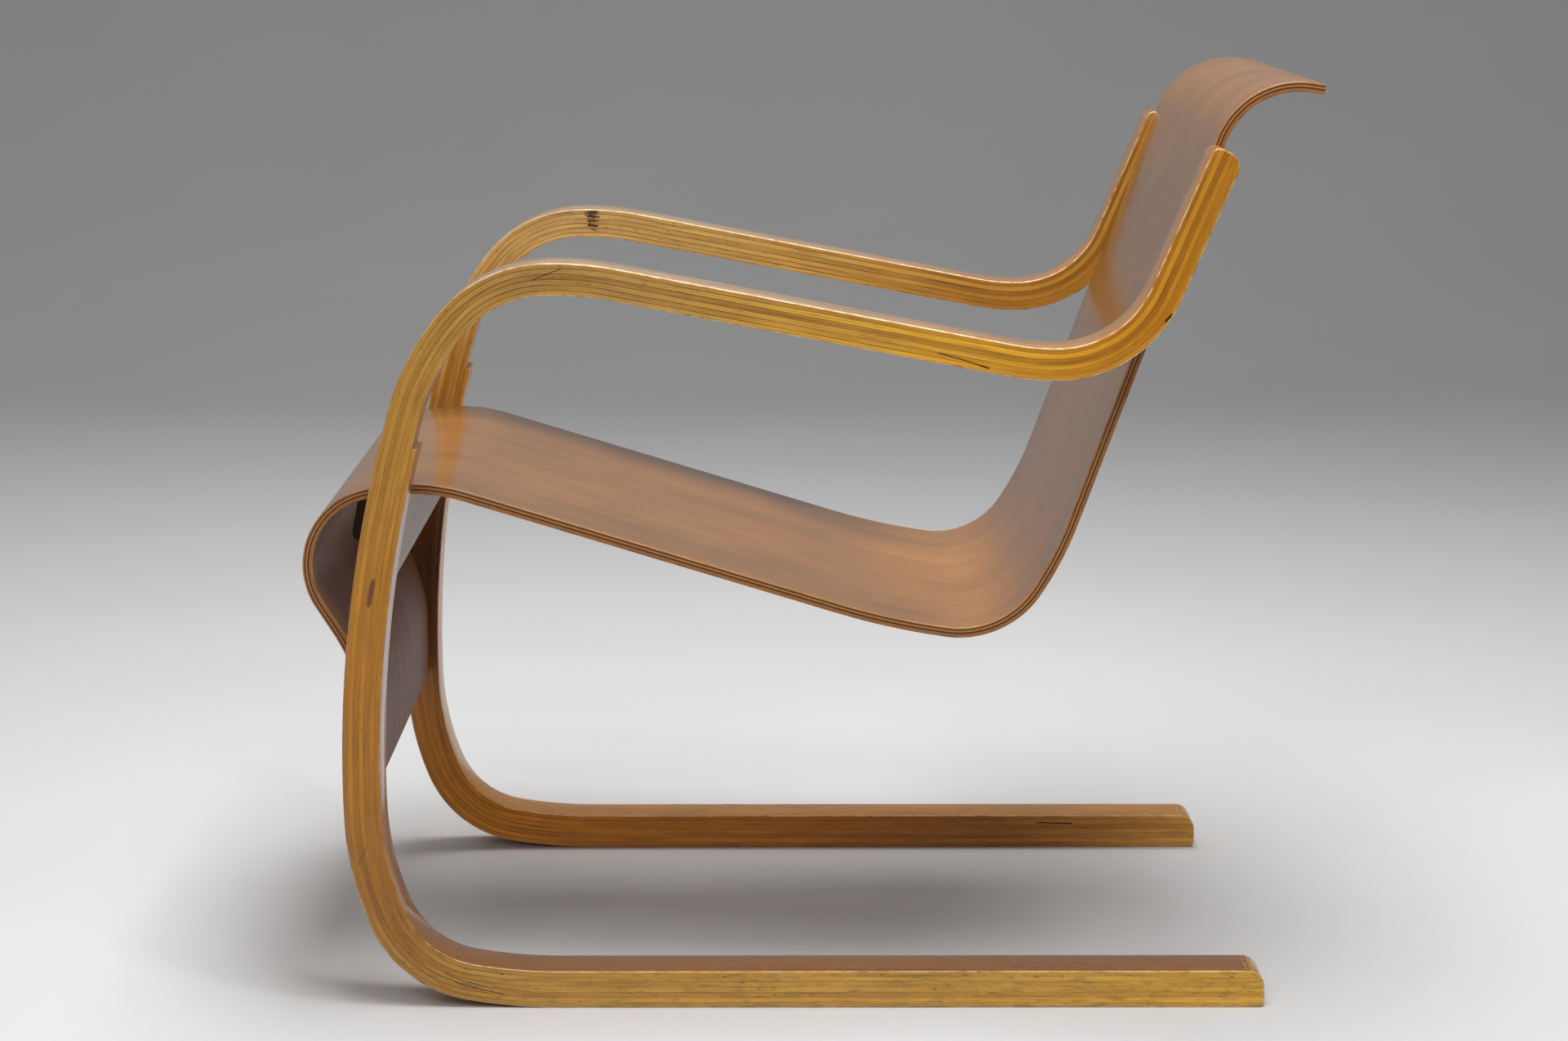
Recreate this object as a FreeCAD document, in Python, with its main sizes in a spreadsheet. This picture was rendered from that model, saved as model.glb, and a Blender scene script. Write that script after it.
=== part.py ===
import FreeCAD, Part
import math
import os

import Sketcher

# Cantilever lounge chair: two bent laminated side frames with one bent plywood shell hung between them.
# X is the width, Y runs from the front to the back, and Z is up from the floor.
# Depths in the sheet are measured from the front of the legs; depth_centre moves the origin to the middle.

SIZES = {
    "half_width": 300.0,
    "frame_width": 50.0,
    "strip_thickness": 4.1,
    "side_clearance": 0.2,
    # side frame, followed along its outer face from the back end of the runner
    "runner_end": 702.5,
    "runner_length": 538.6,
    "toe_radius": 416.0,
    "toe_angle": 9.8,
    "bottom_bend_radius": 98.0,
    "bottom_bend_angle": 57.6,
    "ankle_radius": 244.0,
    "ankle_angle": 20.6,
    "leg_radius": 1000.0,
    "leg_angle": 18.0,
    "shoulder_radius": 196.0,
    "shoulder_angle": 24.3,
    "top_bend_radius": 105.0,
    "top_bend_angle": 47.8,
    "arm_lead_radius": 254.0,
    "arm_lead_angle": 12.7,
    "arm_length": 303.0,
    "rear_lead_radius": 159.0,
    "rear_lead_angle": 12.1,
    "rear_bend_radius": 76.5,
    "rear_bend_angle": 65.3,
    "rise_length": 114.5,
    "leg_strip_angle": 16.6,
    "tip_front_radius": 7.0,
    "tip_back_radius": 13.0,
    "heel_top_radius": 13.0,
    "heel_bottom_radius": 6.0,
    # plywood shell, followed along its sitting face from the lower edge of the tail
    "tail_depth": 12.7,
    "tail_bottom": 158.0,
    "tail_length": 44.3,
    "tail_bend_radius": 148.5,
    "tail_bend_angle": 32.9,
    "tail_lead": 22.5,
    "roll_radius": 60.3,
    "roll_angle": 108.5,
    "roll_lead_radius": 151.7,
    "roll_lead_angle": 31.3,
    "seat_length": 297.9,
    "seat_lead_radius": 531.6,
    "seat_lead_angle": 9.0,
    "seat_bend_radius": 67.1,
    "seat_bend_angle": 64.1,
    "back_lead_radius": 253.5,
    "back_lead_angle": 13.3,
    "back_length": 311.5,
    "scroll_radius": 66.2,
    "scroll_angle": 78.0,
    "lip_length": 10.2,
    "face_veneer": 1.2,
    "core_thickness": 5.4,
    "tail_corner_radius": 12.0,
    # tongues of the shell's tail, housed in stopped grooves in the legs
    "tongue_depth": 8.0,
    "tongue_start": 16.0,
    "tongue_bend_angle": 16.0,
    "groove_clearance": 0.2,
    # rail between the legs and the cleat inside the front roll, both leaning with the legs
    "rail_lean": 10.2,
    "rail_depth": 38.7,
    "rail_bottom": 327.2,
    "rail_thickness": 22.0,
    "rail_height": 65.0,
    "cleat_thickness": 16.4,
    "cleat_rise": 21.2,
    "cleat_height": 48.0,
    "cleat_edge_radius": 6.0,
    "seat_headroom": 24.0,
    # rail behind the back
    "back_rail_start": 246.0,
    "back_rail_height": 42.0,
    "back_rail_thickness": 9.0,
    # dowels and screws
    "front_dowel_diameter": 10.0,
    "back_dowel_diameter": 6.0,
    "dowel_reach": 20.0,
    "dowel_clearance": 0.1,
    "front_dowel_inset": 17.0,
    "back_dowel_inset": 11.0,
    "screw_diameter": 4.0,
    "screw_head_diameter": 8.0,
    "screw_head_height": 2.6,
    "screw_clearance": 0.1,
    "seat_screw_length": 38.0,
    "seat_screw_pitch": 126.0,
    "cleat_screw_length": 32.0,
    "cleat_screw_height": 12.0,
    "back_screw_length": 14.0,
    "back_screw_pitch": 105.0,
}

STRIP_COUNT = 6
HEEL_STRIP_COUNT = STRIP_COUNT + 1
SEAT_SCREW_COUNT = 4
CLEAT_SCREW_COUNT = 3
BACK_SCREW_COUNT = 5

FRAME_PATH = [
    ("line", "runner_length"),
    ("right", "toe_radius", "toe_angle"),
    ("right", "bottom_bend_radius", "bottom_bend_angle"),
    ("right", "ankle_radius", "ankle_angle"),
    ("right", "leg_radius", "leg_angle"),
    ("right", "shoulder_radius", "shoulder_angle"),
    ("right", "top_bend_radius", "top_bend_angle"),
    ("right", "arm_lead_radius", "arm_lead_angle"),
    ("line", "arm_length"),
    ("left", "rear_lead_radius", "rear_lead_angle"),
    ("left", "rear_bend_radius", "rear_bend_angle"),
    ("line", "rise_length"),
]
LEG_STRIP_PATH = FRAME_PATH[:4] + [("right", "leg_radius", "leg_strip_angle")]

SHELL_PATH = [
    ("line", "tail_length"),
    ("left", "tail_bend_radius", "tail_bend_angle"),
    ("line", "tail_lead"),
    ("right", "roll_radius", "roll_angle"),
    ("right", "roll_lead_radius", "roll_lead_angle"),
    ("line", "seat_length"),
    ("left", "seat_lead_radius", "seat_lead_angle"),
    ("left", "seat_bend_radius", "seat_bend_angle"),
    ("left", "back_lead_radius", "back_lead_angle"),
    ("line", "back_length"),
    ("right", "scroll_radius", "scroll_angle"),
    ("line", "lip_length"),
]
BACK_LINE = SHELL_PATH.index(("line", "back_length"))
ROLL_AND_SEAT_PATH = SHELL_PATH[:6]
TONGUE_PATH = [("line", "tail_length"), ("left", "tail_bend_radius", "tongue_bend_angle")]

RIGHT_ANGLE = 90.0
RUNNER_HEADING = 2.0 * RIGHT_ANGLE
TAIL_HEADING = RIGHT_ANGLE
NEARNESS = 0.01

doc = FreeCAD.newDocument("lounge_chair")
sheet = doc.addObject("Spreadsheet::Sheet", "Sizes")
Vector = FreeCAD.Vector
Constraint = Sketcher.Constraint


def size(name):
    return SIZES[name]


def cell(name):
    return "Sizes." + name


def along(heading, distance):
    angle = math.radians(heading)
    return Vector(distance * math.cos(angle), distance * math.sin(angle), 0)


def rightward(heading, distance):
    return along(heading - RIGHT_ANGLE, distance)


def trace(path, start, heading, inset):
    """Follows a chain of lines and arcs at a distance to the right of its driving line.

    Each step gives its kind, its two ends, its centre and radius, and its heading at the far end.
    """
    steps = []
    point = start + rightward(heading, inset)
    for leg in path:
        if leg[0] == "line":
            end = point + along(heading, size(leg[1]))
            steps.append({"kind": "line", "start": point, "end": end, "heading": heading})
        else:
            turn = -1.0 if leg[0] == "right" else 1.0
            radius = size(leg[1]) + turn * inset
            centre = point - rightward(heading, turn * radius)
            heading = heading + turn * size(leg[2])
            end = centre + rightward(heading, turn * radius)
            steps.append({"kind": leg[0], "start": point, "end": end, "centre": centre,
                          "radius": radius, "heading": heading})
        point = end
    return steps


def arc_extremes(step):
    """Both ends of a step, with the outermost points of its circle that the arc passes."""
    points = [step["start"], step["end"]]
    if step["kind"] == "line":
        return points
    spokes = [step["start"] - step["centre"], step["end"] - step["centre"]]
    first, last = [math.atan2(spoke.y, spoke.x) for spoke in spokes]
    low, high = (first, last) if step["kind"] == "left" else (last, first)
    if high < low:
        high += math.tau
    quarter_turn = math.tau / 4
    for quarter in range(-4, 9):
        if low < quarter * quarter_turn < high:
            points.append(step["centre"] + along(math.degrees(quarter * quarter_turn), step["radius"]))
    return points


def middle_depth():
    """Half way between the foremost and rearmost points of the chair, from the front of the legs."""
    depths = [size("runner_end")]
    for inset in (0.0, shell_thickness()):
        start = Vector(size("tail_depth"), size("tail_bottom"), 0)
        for step in trace(SHELL_PATH, start, TAIL_HEADING, inset):
            depths.extend(point.x for point in arc_extremes(step))
    return (min(depths) + max(depths)) / 2.0


def shell_thickness():
    return size("core_thickness") + 2.0 * size("face_veneer")


def fill_sheet():
    SIZES["depth_centre"] = middle_depth()
    for row, name in enumerate(SIZES, start=1):
        sheet.set("A%d" % row, name)
        sheet.set("B%d" % row, repr(round(SIZES[name], 6)))
        sheet.setAlias("B%d" % row, name)
    doc.recompute()


def origin_plane(body, role):
    return [feature for feature in body.Origin.OriginFeatures if feature.Role == role][0]


def new_sketch(body, name, role):
    sketch = body.newObject("Sketcher::SketchObject", name)
    sketch.AttachmentSupport = [(origin_plane(body, role), "")]
    sketch.MapMode = "FlatFace"
    return sketch


def bind(sketch, constraint, name, expression):
    index = sketch.addConstraint(constraint)
    sketch.renameConstraint(index, name)
    sketch.setExpression("Constraints." + name, expression)


def bind_place(sketch, axis, geometry, end, value, expression, name):
    """Holds a point of the sketch at a signed distance from the sketch's origin."""
    kind = "DistanceX" if axis == "x" else "DistanceY"
    if value < 0.0:
        bind(sketch, Constraint(kind, geometry, end, -1, 1, -value), name, "-(%s)" % expression)
    else:
        bind(sketch, Constraint(kind, -1, 1, geometry, end, value), name, expression)


def path_sketch(body, path, start, heading, inset, inset_expression, place):
    """The chain of lines and arcs as a sketch in the YZ plane, every radius, angle and length bound."""
    sketch = new_sketch(body, "Path", "YZ_Plane")
    steps = trace(path, start, heading, inset)
    for step in steps:
        if step["kind"] == "line":
            sketch.addGeometry(Part.LineSegment(step["start"], step["end"]))
            continue
        first, last = step["start"], step["end"]
        if step["kind"] == "right":
            first, last = last, first
        circle = Part.Circle(step["centre"], Vector(0, 0, 1), step["radius"])
        sketch.addGeometry(Part.ArcOfCircle(circle, circle.parameter(first), circle.parameter(last)))
    arrive = [2 if step["kind"] != "right" else 1 for step in steps]
    leave = [1 if step["kind"] != "right" else 2 for step in steps]
    sketch.addConstraint(Constraint("Vertical" if heading == TAIL_HEADING else "Horizontal", 0))
    bind_place(sketch, "x", 0, 1, steps[0]["start"].x, place[0], "start_depth")
    bind_place(sketch, "y", 0, 1, steps[0]["start"].y, place[1], "start_height")
    for index, (leg, step) in enumerate(zip(path, steps)):
        if index:
            sketch.addConstraint(Constraint("Tangent", index - 1, arrive[index - 1], index, leave[index]))
        if step["kind"] == "line":
            bind(sketch, Constraint("Distance", index, size(leg[1])), "length_%d" % index, cell(leg[1]))
            continue
        sign = "-" if step["kind"] == "right" else "+"
        bind(sketch, Constraint("Radius", index, step["radius"]), "radius_%d" % index,
             "%s %s (%s)" % (cell(leg[1]), sign, inset_expression))
        bind(sketch, Constraint("Angle", index, math.radians(size(leg[2]))), "angle_%d" % index,
             "%s * 1 deg" % cell(leg[2]))
    return sketch


def rectangle(sketch, low, high):
    """A rectangle whose sides are bound: low and high are pairs of (value, expression)."""
    x0, y0 = low[0][0], low[1][0]
    x1, y1 = high[0][0], high[1][0]
    corners = [Vector(x0, y0, 0), Vector(x1, y0, 0), Vector(x1, y1, 0), Vector(x0, y1, 0)]
    for index in range(4):
        sketch.addGeometry(Part.LineSegment(corners[index], corners[(index + 1) % 4]))
    for index in range(4):
        sketch.addConstraint(Constraint("Coincident", index, 2, (index + 1) % 4, 1))
    for index, direction in enumerate(("Horizontal", "Vertical", "Horizontal", "Vertical")):
        sketch.addConstraint(Constraint(direction, index))
    bind_place(sketch, "x", 0, 1, x0, low[0][1], "low_x")
    bind_place(sketch, "y", 0, 1, y0, low[1][1], "low_y")
    bind_place(sketch, "x", 2, 1, x1, high[0][1], "high_x")
    bind_place(sketch, "y", 2, 1, y1, high[1][1], "high_y")


def sweep(body, path, profile):
    pipe = body.newObject("PartDesign::AdditivePipe", "Sweep")
    pipe.Profile = profile
    pipe.Spine = path
    return pipe


def frame_strip(name, side, path, index):
    """One strip of a side frame; index counts strips inwards from the outer face of the loop."""
    body = doc.addObject("PartDesign::Body", name)
    thickness = size("strip_thickness")
    middle = "%s * %s" % (index + 0.5, cell("strip_thickness"))
    start = Vector(size("runner_end") - size("depth_centre"), 0, 0)
    place = ("Sizes.runner_end - Sizes.depth_centre", middle)
    spine = path_sketch(body, path, start, RUNNER_HEADING, (index + 0.5) * thickness, middle, place)
    section = new_sketch(body, "Section", "XZ_Plane")
    section.setExpression(".AttachmentOffset.Base.z", "Sizes.depth_centre - Sizes.runner_end")
    inner = size("half_width") - size("frame_width")
    outer = size("half_width")
    near = (side * inner, "%d * (Sizes.half_width - Sizes.frame_width)" % side)
    far = (side * outer, "%d * Sizes.half_width" % side)
    bottom = (index * thickness, "%d * Sizes.strip_thickness" % index)
    top = ((index + 1) * thickness, "%d * Sizes.strip_thickness" % (index + 1))
    low_x, high_x = (near, far) if side > 0 else (far, near)
    rectangle(section, (low_x, bottom), (high_x, top))
    sweep(body, spine, section)
    return body


def shell_layer(name, path, outer, outer_expression, inner, inner_expression, half, half_expression,
                start_rise=0.0, start_expression="0"):
    """A layer of the shell between two distances behind its sitting face."""
    body = doc.addObject("PartDesign::Body", name)
    middle = (outer + inner) / 2.0
    middle_expression = "((%s) + (%s)) / 2" % (outer_expression, inner_expression)
    depth = size("tail_depth") - size("depth_centre")
    start = Vector(depth, size("tail_bottom") + start_rise, 0)
    place = ("Sizes.tail_depth - Sizes.depth_centre + %s" % middle_expression,
             "Sizes.tail_bottom + %s" % start_expression)
    spine = path_sketch(body, path, start, TAIL_HEADING, middle, middle_expression, place)
    if start_rise:
        spine.setExpression("Constraints.length_0", "Sizes.tail_length - (%s)" % start_expression)
    section = new_sketch(body, "Section", "XY_Plane")
    section.setExpression(".AttachmentOffset.Base.z", "Sizes.tail_bottom + %s" % start_expression)
    low = ((-half, "-(%s)" % half_expression),
           (depth + outer, "Sizes.tail_depth - Sizes.depth_centre + (%s)" % outer_expression))
    high = ((half, half_expression),
            (depth + inner, "Sizes.tail_depth - Sizes.depth_centre + (%s)" % inner_expression))
    rectangle(section, low, high)
    sweep(body, spine, section)
    return body


def round_tail_corners(body):
    """Rounds the two lower corners of the tail, seen from the front."""
    doc.recompute()
    base = body.Tip
    bottom = size("tail_bottom")
    names = []
    for index, edge in enumerate(base.Shape.Edges, start=1):
        ends = [vertex.Point for vertex in edge.Vertexes]
        low = all(abs(end.z - bottom) < NEARNESS for end in ends)
        across = abs(ends[0].x - ends[-1].x) < NEARNESS
        if low and across:
            names.append("Edge%d" % index)
    corner = body.newObject("PartDesign::Fillet", "TailCorners")
    corner.Base = (base, names)
    corner.setExpression("Radius", cell("tail_corner_radius"))
    body.Tip = corner


def end_cutter(name, corner, heading, strip_count, first_radius, second_radius):
    """What lies outside the rounded end of a bar: corner is on the outer face, heading points outwards."""
    across_full = size("strip_thickness") * strip_count
    margin = 2.0 * size("strip_thickness")
    r1, r2 = size(first_radius), size(second_radius)
    bulge = math.sqrt(0.5)

    def spot(across, outward):
        return corner + rightward(heading, across) + along(heading, outward)

    first_middle = spot(r1 - r1 * bulge, -r1 + r1 * bulge)
    second_middle = spot(across_full - r2 + r2 * bulge, -r2 + r2 * bulge)
    edges = [
        Part.LineSegment(spot(-margin, margin), spot(across_full + margin, margin)),
        Part.LineSegment(spot(across_full + margin, margin), spot(across_full + margin, -r2)),
        Part.LineSegment(spot(across_full + margin, -r2), spot(across_full, -r2)),
        Part.Arc(spot(across_full, -r2), second_middle, spot(across_full - r2, 0)),
        Part.LineSegment(spot(across_full - r2, 0), spot(r1, 0)),
        Part.Arc(spot(r1, 0), first_middle, spot(0, -r1)),
        Part.LineSegment(spot(0, -r1), spot(-margin, -r1)),
        Part.LineSegment(spot(-margin, -r1), spot(-margin, margin)),
    ]
    outline = Part.Wire([edge.toShape() for edge in edges])
    reach = size("half_width") + margin
    face = Part.Face(outline)
    face.transformShape(FreeCAD.Matrix(0, 0, 1, -reach, 1, 0, 0, 0, 0, 1, 0, 0, 0, 0, 0, 1))
    cutter = doc.addObject("Part::Feature", name)
    cutter.Shape = face.extrude(Vector(2.0 * reach, 0, 0))
    return cutter


def board(name, corner, lean, thickness, height):
    """A straight board across the chair; corner is its lower front edge, lean tips its top backwards."""
    box = doc.addObject("Part::Box", name)
    box.setExpression("Length", "2 * (Sizes.half_width - Sizes.frame_width - Sizes.side_clearance)")
    box.setExpression("Width", cell(thickness))
    box.setExpression("Height", cell(height))
    half = size("half_width") - size("frame_width") - size("side_clearance")
    turn = FreeCAD.Rotation(Vector(1, 0, 0), -lean)
    box.Placement = FreeCAD.Placement(Vector(-half, corner.x, corner.y), turn)
    return box


def ease_edge(name, base, corner, radius):
    """Rounds the long edge of a board that runs through the given corner of the side view."""
    doc.recompute()
    middles = [edge.CenterOfMass for edge in base.Shape.Edges]
    gaps = [abs(middle.x) + (Vector(middle.y, middle.z, 0) - corner).Length for middle in middles]
    number = gaps.index(min(gaps)) + 1
    eased = doc.addObject("Part::Fillet", name)
    eased.Base = base
    eased.Edges = [(number, size(radius), size(radius))]
    return eased


def pin(name, diameter_expression, length_expression, base, direction):
    cylinder = doc.addObject("Part::Cylinder", name)
    cylinder.setExpression("Radius", "(%s) / 2" % diameter_expression)
    cylinder.setExpression("Height", length_expression)
    cylinder.Placement = FreeCAD.Placement(base, FreeCAD.Rotation(Vector(0, 0, 1), direction))
    return cylinder


def screw(name, base, direction, length, clearance):
    """A countersunk screw whose head's flat top is at base, or its hole when there is a clearance."""
    extra = " + 2 * Sizes.screw_clearance" if clearance else ""
    shank = pin(name + "Shank", "Sizes.screw_diameter" + extra, cell(length), base, direction)
    head = doc.addObject("Part::Cone", name + "Head")
    head.setExpression("Radius1", "(Sizes.screw_head_diameter%s) / 2" % extra)
    head.setExpression("Radius2", "(Sizes.screw_diameter%s) / 2" % extra)
    head.setExpression("Height", cell("screw_head_height"))
    head.Placement = FreeCAD.Placement(base, FreeCAD.Rotation(Vector(0, 0, 1), direction))
    whole = doc.addObject("Part::Fuse", name)
    whole.Base = shank
    whole.Tool = head
    return whole


def group(name, members):
    compound = doc.addObject("Part::Compound", name)
    compound.Links = members
    return compound


def cut(name, base, tool):
    result = doc.addObject("Part::Cut", name)
    result.Base = base
    result.Tool = tool
    return result


def spread(count, pitch):
    """Places along X, evenly spaced about the middle."""
    return [(index - (count - 1) / 2.0) * pitch for index in range(count)]


fill_sheet()

DEPTH = size("depth_centre")
INNER = size("half_width") - size("frame_width")
SHELL_HALF = INNER - size("side_clearance")
SHELL_HALF_EXPRESSION = "Sizes.half_width - Sizes.frame_width - Sizes.side_clearance"
SHELL_THICKNESS = shell_thickness()
ACROSS = Vector(1, 0, 0)


def in_space(flat, x=0.0):
    """A point or direction of the side view, put into the chair's axes."""
    return Vector(x, flat.x, flat.y)


# The two leaning boards share one set of axes, taken from the rail's lower back edge.
LEAN_UP = RIGHT_ANGLE - size("rail_lean")
RAIL_BACK = Vector(size("rail_depth") - DEPTH, size("rail_bottom"), 0)
RAIL_FRONT = RAIL_BACK - rightward(LEAN_UP, size("rail_thickness"))
CLEAT_FRONT = RAIL_FRONT - rightward(LEAN_UP, size("cleat_thickness")) + along(LEAN_UP, size("cleat_rise"))

# The back rail lies along the straight of the back, on the shell's rear face.
SHELL_START = Vector(size("tail_depth") - DEPTH, size("tail_bottom"), 0)
BACK_STEP = trace(SHELL_PATH, SHELL_START, TAIL_HEADING, SHELL_THICKNESS)[BACK_LINE]
BACK_UP = BACK_STEP["heading"]
BACK_RAIL_CORNER = BACK_STEP["start"] + along(BACK_UP, size("back_rail_start"))


def dowel_places():
    """Where the dowels cross the inner faces of the frames: front ones, then back ones."""
    front = []
    for rise in (size("front_dowel_inset"), size("rail_height") - size("front_dowel_inset")):
        middle = RAIL_BACK - rightward(LEAN_UP, size("rail_thickness") / 2.0) + along(LEAN_UP, rise)
        front.append(middle)
    back = []
    for rise in (size("back_dowel_inset"), size("back_rail_height") - size("back_dowel_inset")):
        middle = BACK_RAIL_CORNER + rightward(BACK_UP, size("back_rail_thickness") / 2.0)
        back.append(middle + along(BACK_UP, rise))
    return front, back


def dowel_set(name, places, diameter, clearance):
    extra = " + 2 * Sizes.dowel_clearance" if clearance else ""
    slack = size("dowel_clearance") if clearance else 0.0
    members = []
    for side in (-1, 1):
        for number, place in enumerate(places, start=1):
            start = side * (INNER - side * (size("dowel_reach") + slack))
            base = in_space(place, start)
            title = "%s_%s_%d" % (name, "left" if side > 0 else "right", number)
            members.append(pin(title, cell(diameter) + extra, "2 * Sizes.dowel_reach" + extra, base, ACROSS))
    return members


def screw_sets(clearance):
    """The three rows of screws, or their holes."""
    tag = "Hole" if clearance else "Screw"
    up = in_space(along(LEAN_UP, 1.0))
    seat_base = CLEAT_FRONT + rightward(LEAN_UP, size("cleat_thickness") / 2.0)
    seat = [screw("Seat%s%d" % (tag, n), in_space(seat_base, x), up, "seat_screw_length", clearance)
            for n, x in enumerate(spread(SEAT_SCREW_COUNT, size("seat_screw_pitch")), start=1)]
    rearward = in_space(rightward(LEAN_UP, 1.0))
    cleat_base = CLEAT_FRONT + along(LEAN_UP, size("cleat_screw_height"))
    cleat = [screw("Cleat%s%d" % (tag, n), in_space(cleat_base, x), rearward, "cleat_screw_length", clearance)
             for n, x in enumerate(spread(CLEAT_SCREW_COUNT, size("seat_screw_pitch")), start=1)]
    forward = in_space(rightward(BACK_UP, -1.0))
    back_base = (BACK_RAIL_CORNER + rightward(BACK_UP, size("back_rail_thickness"))
                 + along(BACK_UP, size("back_rail_height") / 2.0))
    back = [screw("Back%s%d" % (tag, n), in_space(back_base, x), forward, "back_screw_length", clearance)
            for n, x in enumerate(spread(BACK_SCREW_COUNT, size("back_screw_pitch")), start=1)]
    return seat, cleat, back


def shell_layers():
    """Face veneer, core and back veneer, and the groove and headroom shapes cut from other pieces."""
    veneer, core = "Sizes.face_veneer", "Sizes.core_thickness"
    v, c = size("face_veneer"), size("core_thickness")
    layers = [
        shell_layer("FaceVeneer", SHELL_PATH, 0.0, "0", v, veneer, SHELL_HALF, SHELL_HALF_EXPRESSION),
        shell_layer("Core", SHELL_PATH, v, veneer, v + c, "%s + %s" % (veneer, core),
                    SHELL_HALF, SHELL_HALF_EXPRESSION),
        shell_layer("BackVeneer", SHELL_PATH, v + c, "%s + %s" % (veneer, core), c + 2 * v,
                    "%s + 2 * %s" % (core, veneer), SHELL_HALF, SHELL_HALF_EXPRESSION),
    ]
    for body in layers:
        round_tail_corners(body)
    return layers


def tongue(name, slack, slack_expression):
    """The tail's core carried on sideways into the legs, or its groove when there is slack."""
    v, c = size("face_veneer"), size("core_thickness")
    half = INNER + size("tongue_depth") + slack
    half_expression = "Sizes.half_width - Sizes.frame_width + Sizes.tongue_depth + %s" % slack_expression
    return shell_layer(name, TONGUE_PATH,
                       v - slack, "Sizes.face_veneer - %s" % slack_expression,
                       v + c + slack, "Sizes.face_veneer + Sizes.core_thickness + %s" % slack_expression,
                       half, half_expression, size("tongue_start") - slack,
                       "Sizes.tongue_start - %s" % slack_expression)


def headroom():
    """The shell and the space above it, which the rail and the cleat stop against."""
    return shell_layer("Headroom", ROLL_AND_SEAT_PATH, -size("seat_headroom"), "-Sizes.seat_headroom",
                       SHELL_THICKNESS, "Sizes.core_thickness + 2 * Sizes.face_veneer",
                       size("half_width"), "Sizes.half_width")


def build():
    parts = []
    front_places, back_places = dowel_places()
    front_dowels = dowel_set("front", front_places, "front_dowel_diameter", False)
    back_dowels = dowel_set("back", back_places, "back_dowel_diameter", False)
    dowel_holes = (dowel_set("front_hole", front_places, "front_dowel_diameter", True)
                   + dowel_set("back_hole", back_places, "back_dowel_diameter", True))
    seat_screws, cleat_screws, back_screws = screw_sets(False)
    seat_holes, cleat_holes, back_holes = screw_sets(True)

    frame_start = Vector(size("runner_end") - DEPTH, 0, 0)
    tip = trace(FRAME_PATH, frame_start, RUNNER_HEADING, 0.0)[-1]
    tip_cutter = end_cutter("TipCutter", tip["end"], tip["heading"], STRIP_COUNT,
                            "tip_front_radius", "tip_back_radius")
    heel_corner = frame_start + Vector(0, size("strip_thickness") * HEEL_STRIP_COUNT, 0)
    heel_cutter = end_cutter("HeelCutter", heel_corner, RUNNER_HEADING - 2.0 * RIGHT_ANGLE, HEEL_STRIP_COUNT,
                             "heel_top_radius", "heel_bottom_radius")
    groove = tongue("Groove", size("groove_clearance"), "Sizes.groove_clearance")
    frame_tools = group("FrameTools", [tip_cutter, heel_cutter, groove] + dowel_holes)

    for side, word in ((1, "left"), (-1, "right")):
        for index in range(STRIP_COUNT):
            body = frame_strip("%sStrip%d" % (word, index + 1), side, FRAME_PATH, index)
            parts.append(cut("%s_frame_strip_%d" % (word, index + 1), body, frame_tools))
        body = frame_strip("%sLegStrip" % word, side, LEG_STRIP_PATH, STRIP_COUNT)
        parts.append(cut("%s_leg_strip" % word, body, frame_tools))

    face, core, back = shell_layers()
    shell_tools = group("ShellTools", seat_holes + back_holes)
    with_tongues = doc.addObject("Part::Fuse", "CoreWithTongues")
    with_tongues.Base = core
    with_tongues.Tool = tongue("Tongue", 0.0, "0")
    face.Label = "seat_face_veneer"
    parts.append(face)
    parts.append(cut("seat_core_ply", with_tongues, shell_tools))
    parts.append(cut("seat_back_veneer", back, shell_tools))

    rail_tools = group("RailTools", [headroom()] + dowel_holes + seat_holes + cleat_holes)
    rail = board("RailBlank", RAIL_FRONT, size("rail_lean"), "rail_thickness", "rail_height")
    parts.append(cut("front_rail", rail, rail_tools))
    cleat = board("CleatBlank", CLEAT_FRONT, size("rail_lean"), "cleat_thickness", "cleat_height")
    cleat = ease_edge("CleatEased", cleat, CLEAT_FRONT, "cleat_edge_radius")
    parts.append(cut("roll_cleat", cleat, rail_tools))
    back_rail = board("BackRailBlank", BACK_RAIL_CORNER, RIGHT_ANGLE - BACK_UP,
                      "back_rail_thickness", "back_rail_height")
    parts.append(cut("back_rail", back_rail, group("BackRailTools", dowel_holes + back_holes)))

    parts.append(group("front_rail_dowels", front_dowels))
    parts.append(group("back_rail_dowels", back_dowels))
    parts.append(group("seat_screws", seat_screws))
    parts.append(group("cleat_screws", cleat_screws))
    parts.append(group("back_rail_screws", back_screws))
    return parts


def check(parts):
    """Stops if any object failed, or any sub-part is empty or not valid."""
    for thing in doc.Objects:
        if "Invalid" in thing.State or "Error" in thing.State:
            raise RuntimeError("%s failed: %s" % (thing.Name, thing.State))
    for part in parts:
        if part.Shape.isNull() or not part.Shape.isValid() or not part.Shape.Solids:
            raise RuntimeError("%s has no valid solid" % part.Label)


def write(parts):
    os.makedirs("parts", exist_ok=True)
    for part in parts:
        part.Shape.exportStep("parts/%s.step" % part.Label)
        print("%-22s solids %d volume %.0f" % (part.Label, len(part.Shape.Solids), part.Shape.Volume))


sub_parts = build()
doc.recompute()
check(sub_parts)
write(sub_parts)
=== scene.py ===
import bisect
import math

import bpy
import numpy as np
from mathutils import Matrix, Vector, noise


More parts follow.
